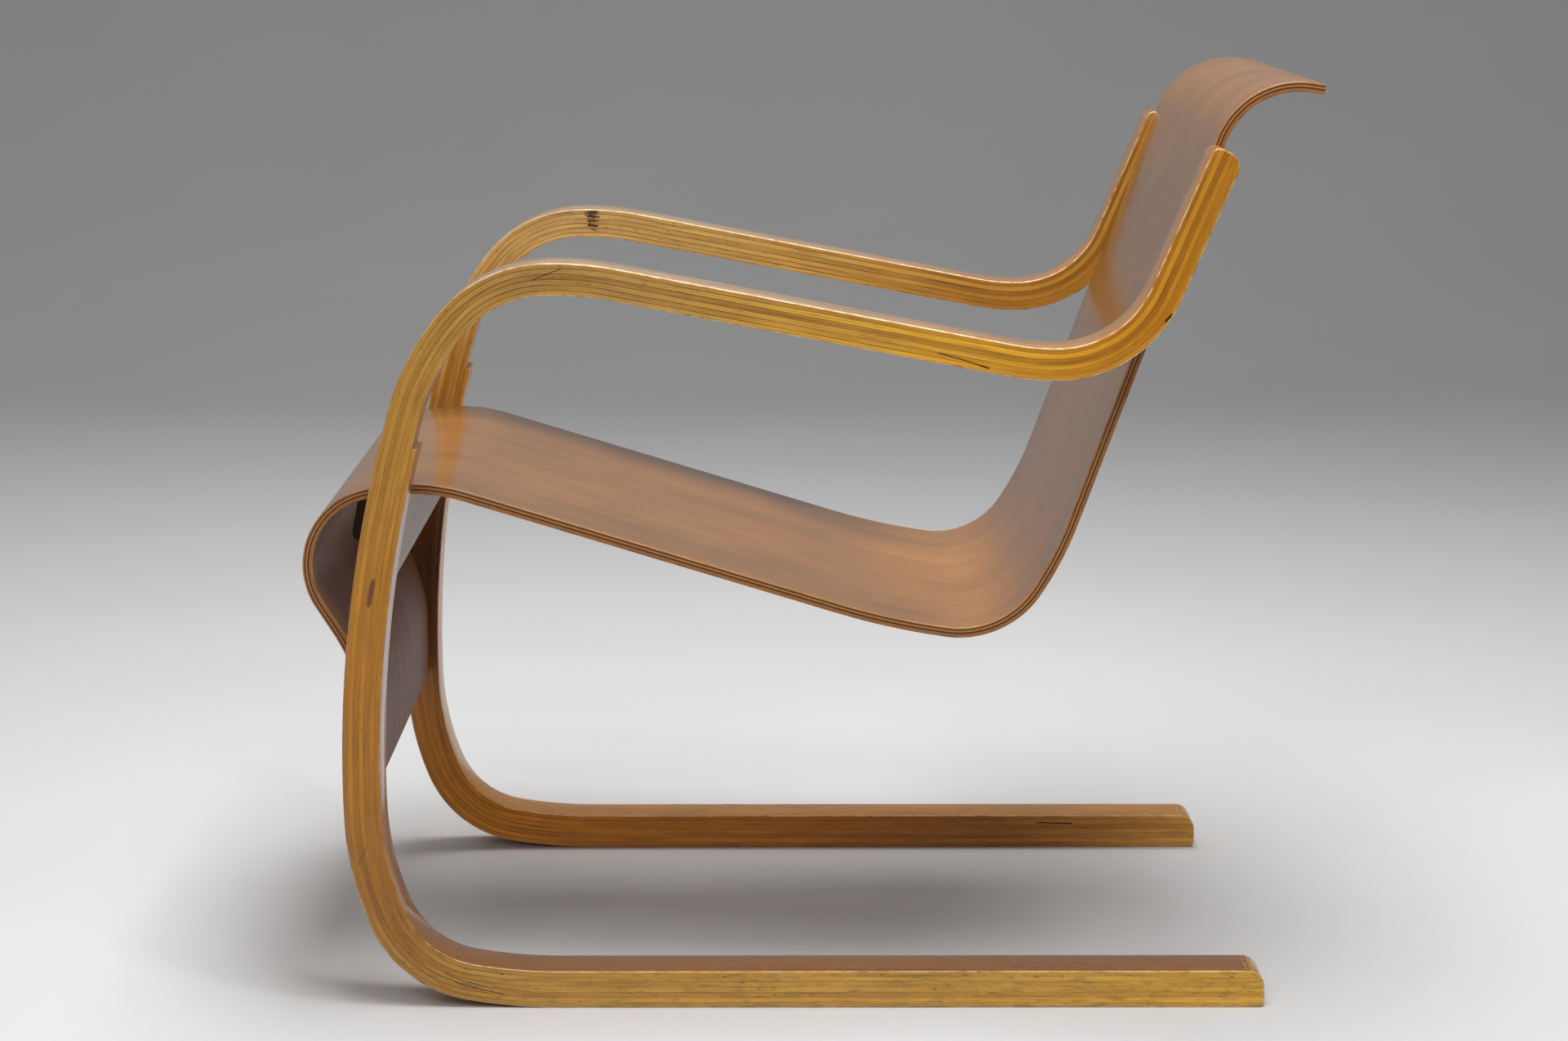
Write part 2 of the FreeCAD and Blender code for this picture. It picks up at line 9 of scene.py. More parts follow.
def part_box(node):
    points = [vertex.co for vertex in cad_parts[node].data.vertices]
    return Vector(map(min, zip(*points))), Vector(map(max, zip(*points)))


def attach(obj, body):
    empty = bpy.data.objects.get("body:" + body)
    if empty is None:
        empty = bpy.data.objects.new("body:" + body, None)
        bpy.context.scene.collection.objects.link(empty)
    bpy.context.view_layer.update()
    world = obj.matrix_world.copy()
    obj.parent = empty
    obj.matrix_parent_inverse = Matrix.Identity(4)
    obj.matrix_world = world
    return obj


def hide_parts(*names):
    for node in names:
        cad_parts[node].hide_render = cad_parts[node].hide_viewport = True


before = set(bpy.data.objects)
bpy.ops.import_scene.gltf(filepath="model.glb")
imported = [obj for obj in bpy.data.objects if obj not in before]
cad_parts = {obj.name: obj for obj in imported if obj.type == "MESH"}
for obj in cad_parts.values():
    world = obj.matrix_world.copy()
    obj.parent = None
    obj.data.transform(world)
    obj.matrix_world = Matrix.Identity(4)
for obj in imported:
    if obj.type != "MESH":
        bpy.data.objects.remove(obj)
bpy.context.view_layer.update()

MM = 0.001    # a millimetre in metres

# Driving sizes in millimetres and degrees, the same as in the part's source.
HALF_WIDTH = 300.0
FRAME_WIDTH = 50.0
STRIP = 4.1
STRIP_COUNT = 6
SIDE_CLEARANCE = 0.2
RUNNER_END = 702.5
FRAME_PATH = [
    ("line", 538.6),
    ("right", 416.0, 9.8),
    ("right", 98.0, 57.6),
    ("right", 244.0, 20.6),
    ("right", 1000.0, 18.0),
    ("right", 196.0, 24.3),
    ("right", 105.0, 47.8),
    ("right", 254.0, 12.7),
    ("line", 303.0),
    ("left", 159.0, 12.1),
    ("left", 76.5, 65.3),
    ("line", 114.5),
]
LEG_STRIP_PATH = FRAME_PATH[:4] + [("right", 1000.0, 16.6)]
TIP_FRONT_RADIUS, TIP_BACK_RADIUS = 7.0, 13.0
HEEL_TOP_RADIUS, HEEL_BOTTOM_RADIUS = 13.0, 6.0

TAIL_DEPTH, TAIL_BOTTOM = 12.7, 158.0
SHELL_PATH = [
    ("line", 44.3),
    ("left", 148.5, 32.9),
    ("line", 22.5),
    ("right", 60.3, 108.5),
    ("right", 151.7, 31.3),
    ("line", 297.9),
    ("left", 531.6, 9.0),
    ("left", 67.1, 64.1),
    ("left", 253.5, 13.3),
    ("line", 311.5),
    ("right", 66.2, 78.0),
    ("line", 10.2),
]
VENEER, CORE = 1.2, 5.4
TAIL_CORNER = 12.0

# Worn edges, in millimetres, in scene.py only.
ARRIS = 1.4              # rounding of the bars' outer edges
COVERED_ARRIS = 0.1      # edge of the sixth strip where the leg strip lies on it
COVER_STOPS_SHORT = 2.0  # length below the leg strip's end where that edge widens again
LEG_TIP_ARRIS = 0.4      # rounding of the leg strip's upper end
SHELL_ARRIS = 0.5        # rounding of the shell's edges
SHELL_EDGE_BAND = 1.2    # width of the band along the shell's edges painted pale, partly wear and partly a painted highlight
FLANK_SHARE = 0.3        # share of the arris that still counts as the bar's side face
ARRIS_UNEVEN = [(0.12, 0.021, 3.0), (0.06, 0.11, 9.0)]    # strength, waves per millimetre, seed
SIDES_APART = 40.0       # keeps that unevenness unlike on the two frames

# How fine the meshes are, in millimetres and degrees.
STRAIGHT_STEP = 9.0      # most between rings on a straight
BEND_STEP = 12.0         # most between rings on a bend
BEND_TURN = 1.6          # most turn between rings
RING_GAP = 2.0           # least between a ring and an end
END_ZONE = 16.0          # length at a rounded end that has rings of its own
QUARTER = [0.0, 22.5, 45.0, 67.5, 90.0]
SHELL_QUARTER = [0.0, 30.0, 60.0, 90.0]
SHARP_ANGLE = 38.0

# Wood coordinates: along the unbent bar or sheet, across it, and into it. The two frames' lie this far
# to either side, so that their grain differs.
WOOD_APART = 90.0


def along(heading, distance):
    """A step in Y and Z. A heading is in degrees: 0 is to the chair's back, 90 up and 180 to its front."""
    angle = math.radians(heading)
    return np.array([distance * math.cos(angle), distance * math.sin(angle)])


def rightward(heading, distance):
    """A step to the right of a heading, which is into the bar or the sheet."""
    return along(heading - 90.0, distance)


def sample(path, start, heading):
    """Rings along the driving line: (distance, point, heading), closely spaced on the bends."""
    rings = []
    point, travelled = np.array(start, float), 0.0
    for kind, *sizes in path:
        if kind == "line":
            length = sizes[0]
            count = max(1, math.ceil(length / STRAIGHT_STEP))
            for k in range(count):
                share = k / count
                rings.append((travelled + share * length, point + along(heading, share * length), heading))
            point = point + along(heading, length)
        else:
            radius, turn = sizes
            hand = -1.0 if kind == "right" else 1.0
            centre = point - rightward(heading, hand * radius)
            length = radius * math.radians(turn)
            count = max(2, math.ceil(max(turn / BEND_TURN, length / BEND_STEP)))
            for k in range(count):
                share = k / count
                turned = heading + hand * share * turn
                place = centre + rightward(turned, hand * radius)
                rings.append((travelled + share * length, place, turned))
            heading += hand * turn
            point = centre + rightward(heading, hand * radius)
        travelled += length
    rings.append((travelled, point, heading))
    return rings


# The frame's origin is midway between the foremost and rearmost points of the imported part. Strip 3 reaches
# the very end of the runner, as the rounded heel doesn't cut it back.
FRONT_OF_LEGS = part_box("left_frame_strip_3")[1].y / MM - RUNNER_END
HEEL_START = (RUNNER_END + FRONT_OF_LEGS, 0.0)
SHELL_START = (TAIL_DEPTH + FRONT_OF_LEGS, TAIL_BOTTOM)
FRAME_RINGS = sample(FRAME_PATH, HEEL_START, 180.0)
LEG_RINGS = sample(LEG_STRIP_PATH, HEEL_START, 180.0)
SHELL_RINGS = sample(SHELL_PATH, SHELL_START, 90.0)
FRAME_LENGTH, LEG_LENGTH, SHELL_LENGTH = FRAME_RINGS[-1][0], LEG_RINGS[-1][0], SHELL_RINGS[-1][0]


def ring_at(rings, distance):
    """Point and heading at a distance along the driving line, carried on straight past its ends."""
    after = bisect.bisect_right(rings, distance, key=lambda ring: ring[0])
    if after == 0 or after == len(rings):
        reached, point, heading = rings[0] if after == 0 else rings[-1]
        return point + along(heading, distance - reached), heading
    start, point, heading = rings[after - 1]
    end, next_point, next_heading = rings[after]
    share = (distance - start) / (end - start)
    return point * (1.0 - share) + next_point * share, heading * (1.0 - share) + next_heading * share


def round_over(radius, degrees):
    """At an angle round an arris: how far in from one face and the other, and how much it is worn edge."""
    angle = math.radians(degrees)
    return radius * (1.0 - math.cos(angle)), radius * (1.0 - math.sin(angle)), math.sin(2.0 * angle)


def worn_arris(distance, side, index):
    """The arris's radius at a place along the bar, where it is worn unevenly, the same on every run."""
    wear = 1.0
    for strength, scale, seed in ARRIS_UNEVEN:
        wear += strength * noise.noise(Vector((distance * scale, side * SIDES_APART, seed + index)))
    return ARRIS * wear


def corner_rounding(depth, total, first, second):
    """How far a rounded end draws back at a depth across the bar."""
    if depth < first:
        return first - math.sqrt(max(0.0, first * first - (first - depth) ** 2))
    if depth > total - second:
        return second - math.sqrt(max(0.0, second * second - (depth - total + second) ** 2))
    return 0.0


def add_object(name, data):
    """A new object in the scene."""
    made = bpy.data.objects.new(name, data)
    bpy.context.scene.collection.objects.link(made)
    return made


def make_mesh(name, points, faces, woods, flanks, edges):
    """A piece from points in millimetres, with its unbent wood coordinates, side-face and arris marks."""
    mesh = bpy.data.meshes.new(name)
    mesh.from_pydata([tuple(MM * value for value in point) for point in points], [], faces)
    wood = mesh.attributes.new("wood", "FLOAT_VECTOR", "POINT")
    wood.data.foreach_set("vector", (MM * np.array(woods, float)).astype(np.float32).ravel())
    for kind, marks in (("flank", flanks), ("arris", edges)):
        attribute = mesh.attributes.new(kind, "FLOAT", "POINT")
        attribute.data.foreach_set("value", np.array(marks, np.float32))
    mesh.polygons.foreach_set("use_smooth", [True] * len(mesh.polygons))
    mesh.update()
    mesh.set_sharp_from_angle(angle=math.radians(SHARP_ANGLE))
    mesh.validate()
    return add_object(name, mesh)


def bar_faces(stations, rows):
    """Faces of a closed bar of so many stations, each with so many rows of one point on either side."""
    width, low = 2 * rows, 2 * (rows - 1)
    end = (stations - 1) * width
    faces = []
    for a in range(0, end, width):
        b = a + width
        for i in range(0, low, 2):
            faces.append((a + i, a + i + 2, b + i + 2, b + i))
            faces.append((a + i + 1, b + i + 1, b + i + 3, a + i + 3))
        faces.append((a, b, b + 1, a + 1))
        faces.append((a + low, a + low + 1, b + low + 1, b + low))
    for i in range(0, low, 2):
        faces.append((i, i + 1, i + 3, i + 2))
        faces.append((end + i, end + i + 2, end + i + 3, end + i + 1))
    return faces


def strip_piece(name, side, number):
    """One strip of a bar, with worn arrises where it is the outermost or innermost strip."""
    leg = number > STRIP_COUNT
    rings, length = (LEG_RINGS, LEG_LENGTH) if leg else (FRAME_RINGS, FRAME_LENGTH)
    index = number - 1
    first, last = number == 1, number >= STRIP_COUNT
    top, bottom = index * STRIP, number * STRIP
    half = 0.5 * FRAME_WIDTH
    centre = side * (HALF_WIDTH - half)

    def section(distance):
        """Rows of (depth, half width, arris mark), from the outside of the loop inwards."""
        radius = worn_arris(distance, side, index)
        shares = [0.5, 0.75] if first else [0.0, 0.33, 0.67]
        if not last:
            shares.append(1.0)
        rows = [(top + share * STRIP, half, 0.0) for share in shares]
        if first:
            worn = [round_over(radius, degrees) for degrees in QUARTER]
            rows = [(top + back, half - inset, mark) for back, inset, mark in worn] + rows
        if last:
            covered = not leg and distance < LEG_LENGTH - COVER_STOPS_SHORT
            lower = COVERED_ARRIS if covered else radius
            worn = [round_over(lower, degrees) for degrees in reversed(QUARTER)]
            rows += [(bottom - back, half - inset, 0.0 if covered else mark) for back, inset, mark in worn]
        return rows

    def end_place(kind, depth, ease):
        """How far along the bar a point of its rounded heel or tip lies."""
        if kind == "heel":
            total = (STRIP_COUNT + 1) * STRIP
            return corner_rounding(depth, total, HEEL_BOTTOM_RADIUS, HEEL_TOP_RADIUS) + ease
        if leg:
            return length - ease
        back = corner_rounding(depth, STRIP_COUNT * STRIP, TIP_FRONT_RADIUS, TIP_BACK_RADIUS)
        return length - back - ease

    stations = [("heel", degrees) for degrees in QUARTER]
    stations += [("ring", ring[0]) for ring in rings if END_ZONE < ring[0] < length - END_ZONE]
    stations += [("tip", degrees) for degrees in reversed(QUARTER)]
    points, woods, flanks, edges = [], [], [], []
    for kind, value in stations:
        for depth, reach, mark in section({"heel": 0.0, "tip": length}.get(kind, value)):
            place, shrink = value, 0.0
            if kind != "ring":
                end_arris = LEG_TIP_ARRIS if leg and kind == "tip" else ARRIS
                ease, shrink, mark = round_over(end_arris, value)
                place = end_place(kind, depth, ease)
            point, heading = ring_at(rings, place)
            point = point + rightward(heading, depth)
            for hand in (-1.0, 1.0):
                across = hand * (reach - shrink)
                points.append((centre + across, point[0], point[1]))
                woods.append((place, across + side * WOOD_APART, depth))
                flanks.append(1.0 if reach > half - FLANK_SHARE * ARRIS else 0.0)
                edges.append(mark)
    faces = bar_faces(len(stations), len(section(0.0)))
    return make_mesh(name, points, faces, woods, flanks, edges)


def sheet_faces(columns, rows, layers):
    """Faces of a closed sheet: a grid on its first and last layers, and a border round all of them."""
    sheet = columns * rows
    under = (layers - 1) * sheet
    faces = []
    for r in range(rows - 1):
        for c in range(columns - 1):
            a = r * columns + c
            b = a + under
            faces.append((a, a + 1, a + columns + 1, a + columns))
            faces.append((b, b + columns, b + columns + 1, b + 1))
    border = list(range(columns))
    border += [r * columns + columns - 1 for r in range(1, rows)]
    border += [(rows - 1) * columns + c for c in range(columns - 2, -1, -1)]
    border += [r * columns for r in range(rows - 2, 0, -1)]
    for low in range(0, under, sheet):
        high = low + sheet
        for a, b in zip(border, border[1:] + border[:1]):
            faces.append((low + b, low + a, high + a, high + b))
    return faces


def shell_piece(name, low, high, top_eased, bottom_eased):
    """One layer of the shell, between two depths: a sheet with rounded lower corners and eased edges."""
    half = HALF_WIDTH - FRAME_WIDTH - SIDE_CLEARANCE
    eased = [round_over(SHELL_ARRIS, degrees)[:2] for degrees in SHELL_QUARTER]
    layers = [(low + back, inset) for back, inset in eased] if top_eased else [(low, 0.0)]
    layers += [(high - back, inset) for back, inset in reversed(eased)] if bottom_eased else [(high, 0.0)]
    corner = [1.0 - TAIL_CORNER / half * (1.0 - math.sin(math.radians(degrees)))
              for degrees in range(0, 91, 15)]
    fractions = [-share for share in reversed(corner)] + [0.25 * k for k in range(-3, 4)] + corner
    places = [0.0, 2.0, 4.0, 8.0, 12.0, END_ZONE]
    places += [ring[0] for ring in SHELL_RINGS if END_ZONE + RING_GAP < ring[0] < SHELL_LENGTH - RING_GAP]
    places.append(SHELL_LENGTH)
    points, woods, edges = [], [], []
    for depth, inset in layers:
        for place in places:
            for fraction in fractions:
                across = fraction * (half - inset)
                distance = place
                if place < END_ZONE:
                    over = max(0.0, abs(across) - (half - TAIL_CORNER))
                    start = TAIL_CORNER - math.sqrt(max(0.0, TAIL_CORNER ** 2 - over ** 2))
                    distance = start + place / END_ZONE * (END_ZONE - start)
                distance = min(max(distance, inset), SHELL_LENGTH - inset)
                point, heading = ring_at(SHELL_RINGS, distance)
                point = point + rightward(heading, depth)
                points.append((across, point[0], point[1]))
                woods.append((distance, across, depth))
                at_edge = abs(across) > half - SHELL_EDGE_BAND or distance > SHELL_LENGTH - SHELL_EDGE_BAND
                edges.append(1.0 if at_edge else 0.0)
    faces = sheet_faces(len(fractions), len(places), len(layers))
    return make_mesh(name, points, faces, woods, [0.0] * len(points), edges)


# Materials. Every wood colour of the bars and the shell is worked out from the wood coordinates, in metres.


class Nodes:
    """A short way to write a node material."""

    def __init__(self, name):
        self.material = bpy.data.materials.new(name)
        self.material.use_nodes = True
        self.tree = self.material.node_tree
        self.tree.nodes.clear()
        output = self.tree.nodes.new("ShaderNodeOutputMaterial")
        self.shader = self.tree.nodes.new("ShaderNodeBsdfPrincipled")
        self.put(self.shader.outputs[0], output.inputs["Surface"])

    def put(self, value, socket):
        """Links another node's output to a socket, or sets the socket to a constant."""
        if isinstance(value, bpy.types.NodeSocket):
            self.tree.links.new(value, socket)
        else:
            socket.default_value = value

    def attribute(self, name, output="Vector"):
        node = self.tree.nodes.new("ShaderNodeAttribute")
        node.attribute_name = name
        return node.outputs[output]

    def object_place(self):
        return self.tree.nodes.new("ShaderNodeTexCoord").outputs["Object"]

    def separate(self, vector):
        node = self.tree.nodes.new("ShaderNodeSeparateXYZ")
        self.put(vector, node.inputs[0])
        return node.outputs

    def noise(self, place, scale, offset=(0.0, 0.0, 0.0), detail=3.0, rough=0.55, distortion=0.0):
        """Noise with a scale of its own along each axis, in waves per metre."""
        mapping = self.tree.nodes.new("ShaderNodeMapping")
        self.put(place, mapping.inputs["Vector"])
        mapping.inputs["Scale"].default_value = scale
        mapping.inputs["Location"].default_value = offset
        node = self.tree.nodes.new("ShaderNodeTexNoise")
        self.put(mapping.outputs[0], node.inputs["Vector"])
        node.inputs["Scale"].default_value = 1.0
        node.inputs["Detail"].default_value = detail
        node.inputs["Roughness"].default_value = rough
        node.inputs["Distortion"].default_value = distortion
        return node.outputs["Fac"]

    def ramp(self, factor, stops):
        """A ramp through stops of a share with a grey value or a colour."""
        node = self.tree.nodes.new("ShaderNodeValToRGB")
        self.put(factor, node.inputs[0])
        elements = node.color_ramp.elements
        while len(elements) < len(stops):
            elements.new(0.5)
        for element, (place, colour) in zip(elements, stops):
            element.position = place
            if isinstance(colour, float):
                colour = (colour, colour, colour)
            element.color = (*colour, 1.0)
        return node.outputs["Color"]

    def math(self, kind, a, b=0.0, clamp=False):
        node = self.tree.nodes.new("ShaderNodeMath")
        node.operation = kind
        node.use_clamp = clamp
        self.put(a, node.inputs[0])
        self.put(b, node.inputs[1])
        return node.outputs[0]

    def plus(self, a, b):
        return self.math("ADD", a, b)

    def minus(self, a, b):
        return self.math("SUBTRACT", a, b)

    def times(self, a, b):
        return self.math("MULTIPLY", a, b)

    def over(self, a, b, clamp=False):
        return self.math("DIVIDE", a, b, clamp)

    def nudged(self, value, noise_value, amount):
        """A value moved up and down by noise, whose middle is a half."""
        return self.plus(value, self.times(self.minus(noise_value, 0.5), amount))

    def mix(self, factor, a, b, blend="MIX"):
        """A mix of two colours. The node's colour sockets are 6 and 7, and its colour output is 2."""
        node = self.tree.nodes.new("ShaderNodeMix")
        node.data_type = "RGBA"
        node.blend_type = blend
        self.put(factor, node.inputs[0])
        for value, socket in ((a, node.inputs[6]), (b, node.inputs[7])):
            self.put((*value, 1.0) if isinstance(value, tuple) else value, socket)
        return node.outputs[2]

    def shaded(self, base, strength, factor, stops):
        """The base multiplied by a ramp, as far as the strength says."""
        return self.mix(strength, base, self.ramp(factor, stops), "MULTIPLY")

    def bump(self, height, strength, distance):
        node = self.tree.nodes.new("ShaderNodeBump")
        node.inputs["Strength"].default_value = strength
        node.inputs["Distance"].default_value = distance
        self.put(height, node.inputs["Height"])
        return node.outputs[0]

    def finish(self, colour, roughness, normal=None, **fixed):
        """Fills the shader's own sockets and gives the material."""
        self.put(colour, self.shader.inputs["Base Color"])
        self.put(roughness, self.shader.inputs["Roughness"])
        if normal is not None:
            self.put(normal, self.shader.inputs["Normal"])
        for name, value in fixed.items():
            self.shader.inputs[name.replace("_", " ")].default_value = value
        return self.material


def srgb(red, green, blue):
    """Eight-bit display colour to scene-linear."""
    shares = (value / 255.0 for value in (red, green, blue))
    return tuple(v / 12.92 if v < 0.04045 else ((v + 0.055) / 1.055) ** 2.4 for v in shares)


# Each list of zones runs along the bar, from the back end of the runner at 0 to the tip of the arm at 1.
# Colours of the bars' sides.
NEAR_ZONES = [(0.0, srgb(222, 170, 62)), (0.12, srgb(206, 158, 66)), (0.31, srgb(196, 148, 64)),
              (0.38, srgb(164, 108, 22)), (0.50, srgb(184, 122, 22)), (0.60, srgb(190, 140, 58)),
              (0.72, srgb(186, 144, 78)), (0.86, srgb(220, 162, 42)), (0.92, srgb(196, 130, 20)),
              (0.97, srgb(186, 126, 30))]
# On the far frame these colours hold painted light and shade: the front bend is painted lighter, as painted
# light under the seat, and the lower leg is painted dark, as painted shade from the seat.
FAR_ZONES_WITH_PAINTED_LIGHT = [(0.0, srgb(226, 164, 70)), (0.10, srgb(180, 112, 42)), (0.20, srgb(206, 130, 40)),
             (0.33, srgb(240, 154, 40)), (0.40, srgb(196, 124, 32)), (0.47, srgb(112, 58, 10)),
             (0.58, srgb(180, 124, 44)), (0.66, srgb(210, 172, 108)), (0.80, srgb(208, 166, 84)),
             (0.88, srgb(182, 131, 46)), (0.94, srgb(170, 120, 42))]
# How far the faces of the outermost and innermost strips go from their dark shade to their light one.
PALE_ZONES = [(0.0, 0.2), (0.37, 0.10), (0.55, 0.15), (0.64, 0.70), (0.70, 1.0), (0.77, 0.95), (0.85, 0.5),
              (0.90, 0.0)]
# How grimy the bar is. The runner's and the leg's values are multiplied by the frame's own use.
RUNNER_GRIME = [(0.0, 1.0), (0.34, 0.8)]
UPPER_GRIME = [(0.44, 0.12), (0.62, 0.3), (0.75, 0.45), (0.85, 0.1)]
# How dark the glue lines are, and how pale the arrises are painted: rubbed by hands and feet, and a painted
# highlight.
SEAM_ZONES = [(0.0, 0.35), (0.27, 0.5), (0.33, 1.0), (0.40, 0.4), (0.60, 0.5), (0.67, 1.0), (0.80, 0.95),
              (0.90, 0.40)]
RUBBED_HIGHLIGHT_ZONES = [(0.0, 0.7), (0.34, 0.5), (0.42, 0.2), (0.60, 0.35), (0.68, 1.0), (0.90, 0.9)]

# Faces of the outermost and innermost strips, dark and light.
# The light face colour is partly wear and partly a painted sheen, paler and greyer than the sides.
OUTER_FACES = (srgb(190, 130, 58), srgb(202, 168, 128))
NEAR_INNER_FACES = (srgb(166, 108, 50), srgb(166, 116, 64))
# The far frame's inner faces are painted lighter than the near frame's: painted light on the far runner's
# top, which lies in the seat's shadow.
FAR_INNER_FACES_PAINTED_LIT = (srgb(226, 156, 68), srgb(216, 156, 82))
# How each strip's side colour differs from the zones' colour.
STRIP_TINTS = {1: (0.97, 0.94, 0.86), 2: (1.10, 1.13, 1.18), 3: (0.90, 0.86, 0.80), 4: (1.05, 1.06, 1.06),
               5: (0.97, 0.95, 0.92), 6: (1.04, 1.06, 1.02), 7: (0.99, 0.95, 0.84)}
BANDED_FROM, BANDING = 0.85, 2.4    # past this share of the bar the tints count for more, by this power
GRAIN_LINE, GRIME, SPECK = srgb(84, 50, 18), srgb(104, 78, 46), srgb(62, 38, 18)
# The arrises' pale colour is partly wear and partly a painted highlight.
GLUE, RUBBED_AND_HIGHLIGHT = srgb(66, 38, 14), srgb(236, 204, 156)

# Cracks, stains and scuffs, by strip number: start and end along the bar, the depth at each, thickness and
# raggedness, all in millimetres, and colour.
CRACK, STAIN, SCUFF = srgb(58, 34, 12), srgb(112, 66, 26), srgb(82, 58, 38)
MARK_TAPER = 0.4    # how fast a mark thins past its ends
LEG_CRACK = (756.0, 770.0, 5.5, 16.0, 0.5, 0.5, CRACK)
NEAR_MARKS = {
    2: [(1284.0, 1298.0, 8.5, 3.5, 0.7, 0.6, CRACK), LEG_CRACK],
    3: [(1270.0, 1286.0, 13.0, 8.0, 0.7, 0.6, CRACK), (583.0, 622.0, 8.8, 11.6, 0.7, 0.5, CRACK),
        LEG_CRACK],
    4: [(964.0, 976.0, 13.8, 15.2, 4.4, 2.6, STAIN), (597.0, 634.0, 13.2, 15.6, 0.6, 0.5, CRACK),
        LEG_CRACK],
    5: [(1586.0, 1624.0, 16.8, 20.6, 0.9, 0.3, CRACK)],
    6: [(1586.0, 1624.0, 16.8, 21.2, 0.9, 0.3, CRACK), (1747.0, 1749.0, 22.0, 22.6, 2.0, 2.0, CRACK)],
}
FAR_MARKS = {
    1: [(1293.0, 1295.0, 2.6, 3.0, 3.4, 7.0, SCUFF)],
    2: [(1294.0, 1296.0, 5.8, 6.4, 3.6, 7.0, SCUFF)],
    3: [(1294.0, 1296.0, 9.8, 10.6, 3.4, 7.0, SCUFF)],
    4: [(1295.0, 1297.0, 14.0, 14.6, 3.2, 7.0, SCUFF)],
    5: [(1296.0, 1297.0, 17.6, 18.2, 2.6, 7.0, SCUFF)],
    6: [(110.0, 140.0, 21.4, 22.2, 1.3, 1.6, CRACK)],
}

# What differs between the two frames. The grain's seed goes up by a step with each strip.
SIDE_LOOKS = {
    "left": {"side": 1.0, "seed": 0.0, "zones": NEAR_ZONES, "use": 1.0, "inner_faces": NEAR_INNER_FACES,
             "inner_lacquer": 0.4, "marks": NEAR_MARKS},
    "right": {"side": -1.0, "seed": 50.0, "zones": FAR_ZONES_WITH_PAINTED_LIGHT, "use": 0.3, "inner_faces": FAR_INNER_FACES_PAINTED_LIT,
              "inner_lacquer": 0.25, "marks": FAR_MARKS},
}
SEED_STEP = 7.3
OUTER_LACQUER = 0.7

# How the shell's veneer changes from its tail to its top edge: the back is greyer and more lilac than the
# seat, aged and with a painted sheen, and the bright zone at the seat's low bend is a painted highlight.
FACE_ZONES = [(0.0, (0.8, 0.8, 0.8)), (0.14, (0.9, 0.92, 1.0)), (0.24, (0.92, 0.92, 0.92)),
              (0.52, (1.0, 1.0, 1.0)), (0.595, (1.24, 1.22, 1.10)), (0.65, (0.82, 0.78, 0.86)),
              (0.86, (0.64, 0.66, 0.74)), (0.93, (1.0, 0.96, 0.88))]
BACK_ZONES = [(0.0, (1.0, 1.0, 1.0)), (1.0, (0.9, 0.9, 0.9))]
# Colours: darker along the seat's far edge, dark specks, and pale edges that are wear with a painted
# highlight.
SEAT_FAR_EDGE_DARK, VENEER_SPECK, VENEER_RUBBED_HIGHLIGHT = srgb(70, 44, 28), srgb(52, 30, 18), srgb(196, 132, 66)
# The core's plies, from the face side to the back: end grain is dark, and long grain is pale.
PLIES = [(0.0, srgb(88, 50, 20)), (0.20, srgb(92, 54, 22)), (0.26, srgb(182, 124, 62)),
         (0.44, srgb(172, 114, 56)), (0.50, srgb(78, 44, 16)), (0.68, srgb(84, 48, 18)),
         (0.74, srgb(168, 110, 52)), (0.94, srgb(150, 96, 44))]


def tinted(colour, tint, strength):
    """A colour multiplied by a tint to a power, and kept below white."""
    return tuple(min(1.0, value * factor ** strength) for value, factor in zip(colour, tint))


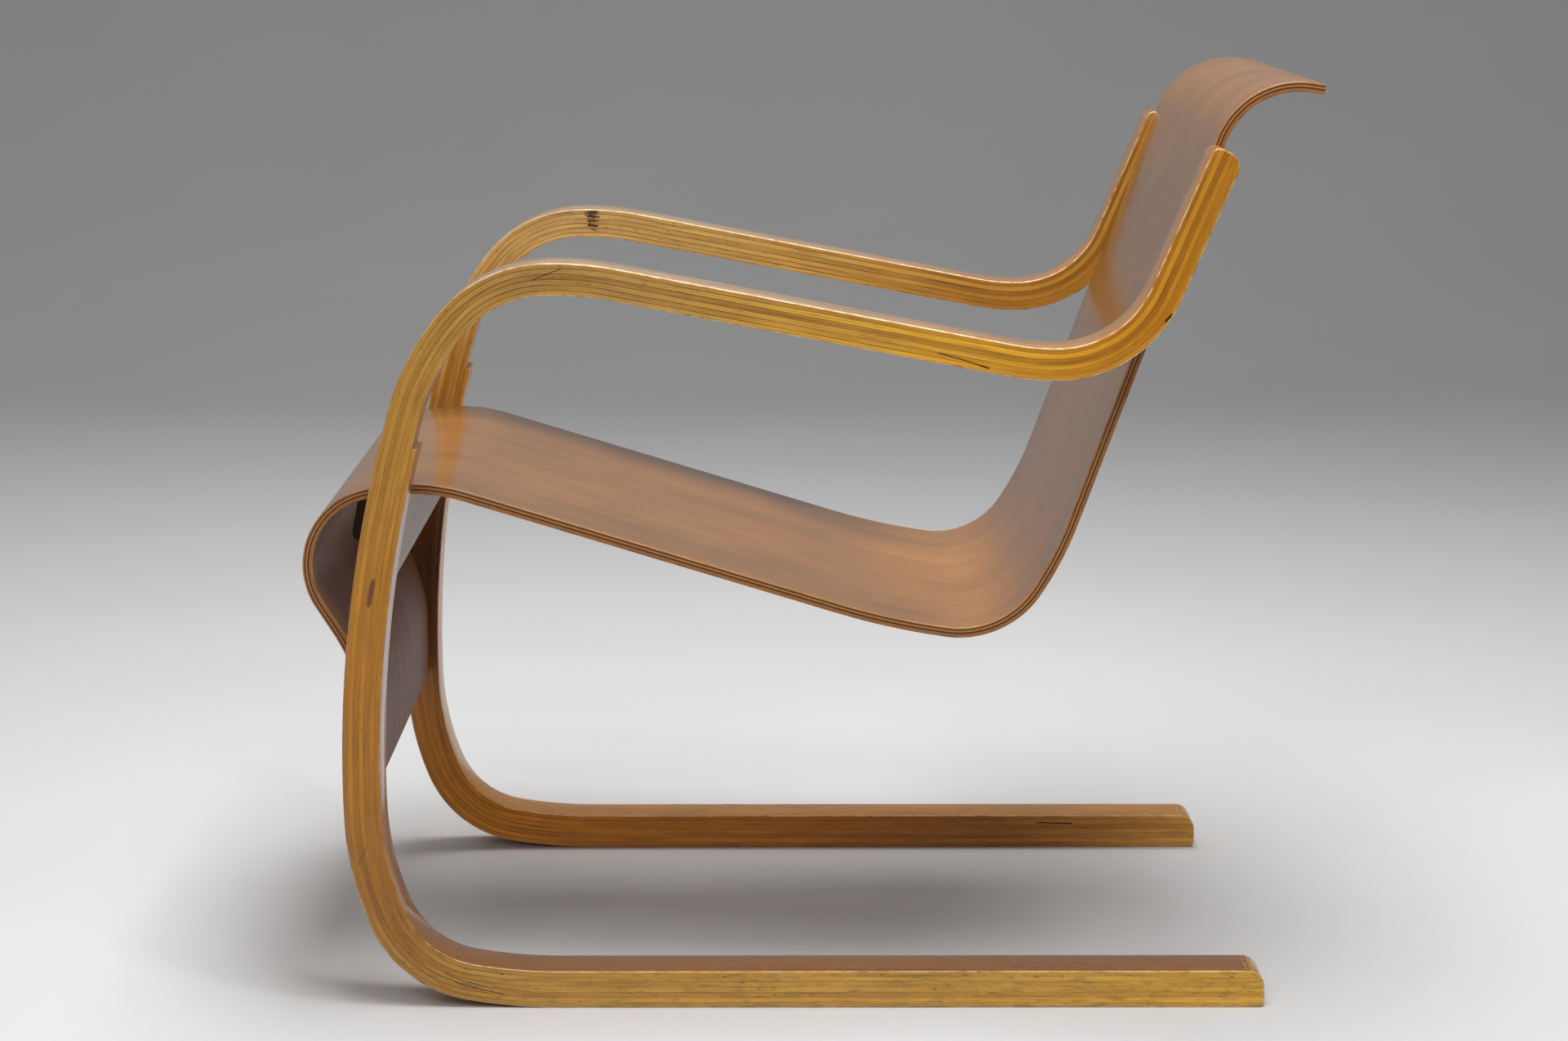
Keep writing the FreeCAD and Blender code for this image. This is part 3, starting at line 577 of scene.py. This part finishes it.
def strip_wood(name, number, look):
    """Lacquered birch strip: golden sides, faces paler where hands wear the arm and with a painted sheen,
    with fine dark grain lines.
    """
    seed = number * SEED_STEP + look["seed"]
    faces = OUTER_FACES if number == 1 else look["inner_faces"]
    lacquer = OUTER_LACQUER if number == 1 else look["inner_lacquer"]
    tint = STRIP_TINTS[number]
    m = Nodes(name)
    wood = m.attribute("wood")
    flank = m.attribute("flank", "Fac")
    axes = m.separate(wood)

    # Share along the bar, with the zones' borders uneven, and the plain colours.
    drift = m.noise(wood, (5.0, 40.0, 40.0), (seed, 2.0, 5.0))
    share = m.nudged(m.over(axes[0], MM * FRAME_LENGTH), drift, 0.16)
    side_zones = [(place, tinted(colour, tint, BANDING if place > BANDED_FROM else 1.0))
                  for place, colour in look["zones"]]
    # The faces go from dark to light, the light one partly a painted sheen; the sides take the zones'
    # colours.
    base = m.mix(flank, m.mix(m.ramp(share, PALE_ZONES), *faces), m.ramp(share, side_zones))

    # Grain: soft streaks and clouds, and fine dark lines in patches.
    streak = m.noise(wood, (7.0, 700.0, 700.0), (seed + 5.0, seed, 0.0), detail=4.0, distortion=0.2)
    base = m.shaded(base, 0.4, streak, [(0.36, (0.76, 0.70, 0.62)), (0.58, (1.06, 1.05, 1.03))])
    cloud = m.noise(wood, (16.0, 50.0, 60.0), (seed, 3.0, 1.0), detail=5.0, rough=0.65)
    base = m.shaded(base, 0.8, cloud, [(0.32, (0.80, 0.77, 0.72)), (0.68, (1.12, 1.11, 1.10))])
    fine = m.noise(wood, (16.0, 1300.0, 1300.0), (seed, seed, seed), detail=2.0, rough=0.5)
    patch = m.noise(wood, (9.0, 110.0, 110.0), (seed, 0.0, 9.0))
    lines = m.times(m.ramp(fine, [(0.54, 0.0), (0.62, 1.0)]), m.ramp(patch, [(0.40, 0.25), (0.60, 1.0)]))
    base = m.mix(m.times(lines, 0.45), base, GRAIN_LINE)

    # Grime and dark specks where the bar is used most.
    used = m.ramp(share, [(place, amount * look["use"]) for place, amount in RUNNER_GRIME] + UPPER_GRIME)
    grime = m.noise(wood, (55.0, 210.0, 210.0), (seed, 8.0, 2.0), detail=5.0, rough=0.7)
    base = m.mix(m.times(m.ramp(grime, [(0.50, 0.0), (0.68, 0.55)]), used), base, GRIME)
    specks = m.noise(wood, (150.0, 520.0, 520.0), (seed, 4.0, 7.0), rough=0.6)
    specks = m.times(m.ramp(specks, [(0.66, 0.0), (0.72, 0.9)]), m.plus(used, 0.35))
    base = m.mix(m.math("MINIMUM", specks, 0.9), base, SPECK)

    # Dark glue lines at both faces of the strip, broken here and there.
    place = m.math("FRACT", m.over(axes[2], MM * STRIP))
    near = m.math("MINIMUM", place, m.minus(1.0, place))
    seam = m.noise(wood, (14.0, 3.0, 30.0), (0.0, 0.0, 4.0))
    glue = m.ramp(near, [(0.0, 1.0), (0.04, 1.0), (0.09, 0.0)])
    glue = m.times(glue, m.ramp(seam, [(0.35, 0.30), (0.58, 1.0)]))
    glue = m.times(m.times(glue, m.ramp(share, SEAM_ZONES)), flank)
    base = m.mix(m.times(glue, 0.92), base, GLUE)

    # Cracks, stains and scuffs, on the side that the photograph shows.
    for *line, colour in look["marks"].get(number, []):
        shown = m.times(mark_mask(m, wood, axes, *line), m.times(flank, shown_side(m, axes, look["side"])))
        base = m.mix(shown, base, colour)

    # Arrises painted pale: partly rubbed by use, partly a painted highlight.
    rub_and_glint = m.noise(wood, (120.0, 300.0, 300.0), (seed, 1.0, 6.0))
    rubbed_highlight = m.times(m.attribute("arris", "Fac"), m.ramp(rub_and_glint, [(0.40, 0.05), (0.58, 0.9)]))
    base = m.mix(m.times(rubbed_highlight, m.ramp(share, RUBBED_HIGHLIGHT_ZONES)), base, RUBBED_AND_HIGHLIGHT)

    height = m.minus(m.minus(m.times(cloud, 0.6), m.times(lines, 0.25)), m.times(glue, 0.7))
    rough = m.ramp(cloud, [(0.3, 0.22), (0.7, 0.40)])
    return m.finish(base, rough, m.bump(height, 0.35, 0.0004), Specular_IOR_Level=0.25,
                    Coat_Weight=lacquer, Coat_Roughness=0.09)


def mark_mask(m, wood, axes, start, end, shallow, deep, thickness, ragged):
    """How strongly one crack, stain or scuff shows: it runs from (start, shallow) to (end, deep), in mm."""
    ramble = m.noise(wood, (300.0, 300.0, 400.0), detail=4.0, rough=0.7)
    share = m.over(m.minus(axes[0], MM * start), MM * (end - start), clamp=True)
    middle = m.plus(m.times(share, MM * (deep - shallow)), MM * shallow)
    aside = m.minus(axes[2], middle)
    from_middle = m.math("ABSOLUTE", m.minus(axes[0], 0.5 * MM * (start + end)))
    past = m.math("MAXIMUM", m.minus(from_middle, 0.5 * MM * abs(end - start)), 0.0)
    past = m.times(past, MARK_TAPER)
    off = m.math("SQRT", m.plus(m.times(aside, aside), m.times(past, past)))
    off = m.nudged(off, ramble, MM * ragged)
    return m.ramp(m.over(off, MM * thickness), [(0.35, 1.0), (0.60, 0.0)])


def shown_side(m, axes, side):
    """One on the half of a bar that faces the photograph, on either frame, and zero on its other half."""
    return m.math("GREATER_THAN", axes[1], side * MM * WOOD_APART)


def veneer_wood(name, light, dark, seed, lacquer, zones, far_edge_dark):
    """Aged veneer of the shell, softly figured, with its grain along the shell, darker along the seat's far
    edge.
    """
    m = Nodes(name)
    wood = m.attribute("wood")
    axes = m.separate(wood)
    figure = m.noise(wood, (2.6, 34.0, 8.0), (seed, 1.0, 0.0), detail=6.0, rough=0.62, distortion=0.5)
    cloud = m.noise(wood, (9.0, 9.0, 9.0), (seed, 4.0, 0.0), detail=4.0, rough=0.6)
    fine = m.noise(wood, (60.0, 900.0, 60.0), (seed, 0.0, 0.0))
    flakes = m.noise(wood, (260.0, 700.0, 60.0), (seed, 6.0, 0.0), rough=0.6)
    share_along = m.nudged(m.over(axes[0], MM * SHELL_LENGTH), cloud, 0.06)
    base = m.shaded(m.ramp(figure, [(0.3, dark), (0.7, light)]), 1.0, share_along, zones)
    base = m.shaded(base, 0.45, fine, [(0.34, 0.80), (0.56, 1.04)])
    base = m.shaded(base, 0.7, flakes, [(0.38, 0.84), (0.60, 1.08)])
    base = m.shaded(base, 0.8, cloud, [(0.3, (0.84, 0.82, 0.80)), (0.7, (1.14, 1.12, 1.08))])

    # From 0 at the far edge to 1 at the near one, because the shell is half a metre wide.
    share_across = m.nudged(m.plus(m.times(axes[1], 2.0), 0.5), cloud, 0.10)
    edge = m.times(m.ramp(share_across, [(0.0, 1.0), (0.06, 0.8), (0.18, 0.0)]),
                   m.ramp(share_along, [(0.20, 0.0), (0.28, 1.0), (0.48, 1.0), (0.58, 0.0)]))
    # Darker along the seat's far edge, next to the far frame.
    base = m.mix(m.times(edge, far_edge_dark), base, SEAT_FAR_EDGE_DARK)
    specks = m.noise(wood, (240.0, 240.0, 240.0), (seed, 0.0, 7.0), detail=2.0)
    base = m.mix(m.ramp(specks, [(0.75, 0.0), (0.80, 0.6)]), base, VENEER_SPECK)
    # The shell's edges painted pale: partly wear, partly a painted highlight.
    rubbed_highlight = m.times(m.attribute("arris", "Fac"), m.ramp(fine, [(0.40, 0.15), (0.55, 0.9)]))
    base = m.mix(m.times(rubbed_highlight, 0.55), base, VENEER_RUBBED_HIGHLIGHT)

    dull = 0.3 * (1.0 - lacquer)
    rough = m.ramp(cloud, [(0.3, 0.30 + dull), (0.7, 0.42 + dull)])
    normal = m.bump(m.plus(m.times(flakes, 0.15), cloud), 0.10, 0.0006)
    return m.finish(base, rough, normal, Specular_IOR_Level=0.15 + 0.35 * lacquer,
                    Coat_Weight=0.8 * lacquer, Coat_Roughness=0.14)


def ply_wood(name, seed):
    """Plywood edge: plies of alternating grain, dark end grain between paler layers."""
    m = Nodes(name)
    wood = m.attribute("wood")
    place = m.over(m.minus(m.separate(wood)[2], MM * VENEER), MM * CORE)
    fine = m.noise(wood, (260.0, 300.0, 2200.0), (seed, 0.0, 0.0), detail=4.0)
    base = m.shaded(m.ramp(place, PLIES), 0.8, fine, [(0.3, 0.6), (0.6, 1.1)])
    return m.finish(base, 0.5, m.bump(fine, 0.3, 0.0003), Specular_IOR_Level=0.4)


def board_wood(name, light, dark, lacquer):
    """Straight boards and pins, with their grain across the chair."""
    m = Nodes(name)
    place = m.object_place()
    streak = m.noise(place, (8.0, 300.0, 300.0), detail=4.0, distortion=0.3)
    fine = m.noise(place, (40.0, 1400.0, 1400.0))
    base = m.shaded(m.ramp(streak, [(0.3, dark), (0.7, light)]), 0.6, fine, [(0.3, 0.7), (0.5, 1.0)])
    rough = m.ramp(streak, [(0.3, 0.42), (0.7, 0.6)])
    return m.finish(base, rough, m.bump(fine, 0.3, 0.0003), Specular_IOR_Level=0.1 + 0.4 * lacquer,
                    Coat_Weight=lacquer, Coat_Roughness=0.16)


def screw_metal(name):
    """Old steel screws, rusty in patches."""
    m = Nodes(name)
    stain = m.noise(m.object_place(), (400.0, 400.0, 400.0), detail=4.0)
    base = m.ramp(stain, [(0.35, srgb(96, 78, 60)), (0.6, srgb(160, 156, 150))])
    rough = m.ramp(stain, [(0.35, 0.65), (0.6, 0.3)])
    return m.finish(base, rough, m.bump(stain, 0.2, 0.0002), Metallic=0.9)


def give_material(piece, material):
    """Gives a piece or a CAD node its one material."""
    piece.data.materials.clear()
    piece.data.materials.append(material)


def build_frames():
    """The strips of both side frames, each in place of its CAD node."""
    for word, look in SIDE_LOOKS.items():
        for number in range(1, STRIP_COUNT + 2):
            node = "%s_frame_strip_%d" % (word, number) if number <= STRIP_COUNT else "%s_leg_strip" % word
            piece = strip_piece(node + "_dressed", look["side"], number)
            give_material(piece, strip_wood(node + "_wood", number, look))
            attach(piece, "root")
            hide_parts(node)


def build_shell():
    """The three layers of the shell, each in place of its CAD node."""
    face = veneer_wood("shell_face_veneer", light=srgb(176, 120, 54), dark=srgb(158, 104, 46), seed=2.0,
                       lacquer=0.95, zones=FACE_ZONES, far_edge_dark=0.9)
    back = veneer_wood("shell_back_veneer", light=srgb(152, 106, 76), dark=srgb(126, 86, 60), seed=11.0,
                       lacquer=0.12, zones=BACK_ZONES, far_edge_dark=0.0)
    ply = ply_wood("shell_ply_edge", seed=4.0)
    layers = [("seat_face_veneer", 0.0, VENEER, True, False, face, "shell_veneer"),
              ("seat_core_ply", VENEER, VENEER + CORE, False, False, ply, "shell_ply"),
              ("seat_back_veneer", VENEER + CORE, 2 * VENEER + CORE, False, True, back, "shell_veneer")]
    for node, low, high, top_eased, bottom_eased, material, slot in layers:
        piece = shell_piece(node + "_dressed", low, high, top_eased, bottom_eased)
        give_material(piece, material)
        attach(piece, "root")
        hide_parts(node)


BOARD_EASING, EASING_SEGMENTS = 0.8, 2    # rounding of the boards' edges in millimetres, and its steps


def dress_nodes():
    """Boards and fixings keep their CAD shapes, and the boards' edges are eased."""
    board = board_wood("rail_wood", light=srgb(140, 98, 64), dark=srgb(106, 70, 42), lacquer=0.3)
    # The roll's cleat is painted near black, as painted shade in the hollow under the roll.
    shade_dark_board = board_wood("cleat_wood", light=srgb(44, 27, 14), dark=srgb(24, 14, 7), lacquer=0.0)
    pin = board_wood("dowel_wood", light=srgb(196, 156, 104), dark=srgb(160, 118, 70), lacquer=0.0)
    metal = screw_metal("screw_steel")
    choices = {"front_rail": board, "roll_cleat": shade_dark_board, "back_rail": board,
               "front_rail_dowels": pin, "back_rail_dowels": pin,
               "seat_screws": metal, "cleat_screws": metal, "back_rail_screws": metal}
    for node, material in choices.items():
        give_material(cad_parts[node], material)
        if material in (board, shade_dark_board):
            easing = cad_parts[node].modifiers.new("easing", "BEVEL")
            easing.width = MM * BOARD_EASING
            easing.segments = EASING_SEGMENTS
            easing.limit_method = "ANGLE"


# The studio, in metres and watts: a pale floor that curves up into a grey wall, and soft lights. The floor
# runs along X, from behind the camera to the wall.
FLOOR_END, WALL, WALL_TOP = 6.0, -5.8, 7.0
SWEEP_HALF_WIDTH, SWEEP_RADIUS, SWEEP_STEPS = 9.0, 2.2, 16
LIGHTS = [
    # name, place, target, size and power
    ("overhead", (0.3, 0.12, 2.3), (0.3, 0.04, 0.0), (3.4, 1.0), 60.0),
    ("front", (3.4, -0.9, 2.5), (0.2, 0.0, 0.3), (1.8, 1.6), 32.0),
    ("back", (-1.8, -0.9, 2.1), (-1.8, -0.9, 0.0), (2.0, 3.0), 10.0),
    ("sparkle", (1.1, 0.7, 2.4), (0.0, 0.1, 0.4), (0.22, 0.7), 8.0),
]
AIR_STRENGTH = 0.15

# The camera fitted to the photograph: focal length and width in the photograph's pixels, angles in degrees,
# and its place in metres, with Y from the front of the legs.
FOCAL_PIXELS, PHOTO_WIDTH, SENSOR_WIDTH = 5142.0, 1920.0, 36.0
PITCH, YAW, ROLL = 8.422, -0.078, -0.027
CAMERA_PLACE = (3.422, 0.331, 0.839)
CLIP_START, CLIP_END = 0.1, 60.0


def build_studio():
    """The floor and the wall, as one bent sheet."""
    rows = [(FLOOR_END, 0.0)]
    for k in range(SWEEP_STEPS + 1):
        angle = math.radians(90.0 * k / SWEEP_STEPS)
        reach = WALL + SWEEP_RADIUS - SWEEP_RADIUS * math.sin(angle)
        rows.append((reach, SWEEP_RADIUS * (1.0 - math.cos(angle))))
    rows.append((WALL, WALL_TOP))
    points = [(reach, hand * SWEEP_HALF_WIDTH, height) for reach, height in rows for hand in (-1.0, 1.0)]
    faces = [(a, a + 1, a + 3, a + 2) for a in range(0, len(points) - 2, 2)]
    mesh = bpy.data.meshes.new("studio_sweep")
    mesh.from_pydata(points, [], faces)
    mesh.polygons.foreach_set("use_smooth", [True] * len(mesh.polygons))
    sweep = add_object("studio_sweep", mesh)
    m = Nodes("studio_paper")
    mottle = m.noise(m.object_place(), (1.5, 1.5, 1.5), detail=2.0)
    give_material(sweep, m.finish(m.ramp(mottle, [(0.2, 0.74), (0.8, 0.78)]), 0.9, Specular_IOR_Level=0.1))


def build_lights():
    """The lamps, and a little light from all round."""
    for name, place, target, size, power in LIGHTS:
        data = bpy.data.lights.new(name, "AREA")
        data.shape = "RECTANGLE"
        data.size, data.size_y = size
        data.energy = power
        lamp = add_object(name, data)
        lamp.location = place
        lamp.rotation_mode = "QUATERNION"
        lamp.rotation_quaternion = (Vector(target) - Vector(place)).to_track_quat("-Z", "Y")
    world = bpy.data.worlds.new("studio_air")
    world.use_nodes = True
    background = world.node_tree.nodes["Background"]
    background.inputs[0].default_value = (1.0, 1.0, 1.0, 1.0)
    background.inputs[1].default_value = AIR_STRENGTH
    bpy.context.scene.world = world


def build_camera():
    """The photograph's view, looking at the sitter's left side."""
    data = bpy.data.cameras.new("camera")
    data.sensor_width = SENSOR_WIDTH
    data.lens = FOCAL_PIXELS / PHOTO_WIDTH * SENSOR_WIDTH
    data.clip_start, data.clip_end = CLIP_START, CLIP_END
    camera = add_object("camera", data)
    pitch, yaw, roll = math.radians(PITCH), math.radians(YAW), math.radians(ROLL)
    forward = Vector((-math.cos(pitch) * math.cos(yaw), -math.cos(pitch) * math.sin(yaw), -math.sin(pitch)))
    right = forward.cross(Vector((0, 0, 1))).normalized()
    up = right.cross(forward)
    turned_right = right * math.cos(roll) + up * math.sin(roll)
    turned_up = up * math.cos(roll) - right * math.sin(roll)
    place = Vector(CAMERA_PLACE) + Vector((0.0, MM * FRONT_OF_LEGS, 0.0))
    basis = Matrix((turned_right, turned_up, -forward)).transposed().to_4x4()
    camera.matrix_world = Matrix.Translation(place) @ basis
    bpy.context.scene.camera = camera


build_frames()
build_shell()
dress_nodes()
build_studio()
build_lights()
build_camera()
bpy.context.scene.view_settings.view_transform = "Standard"
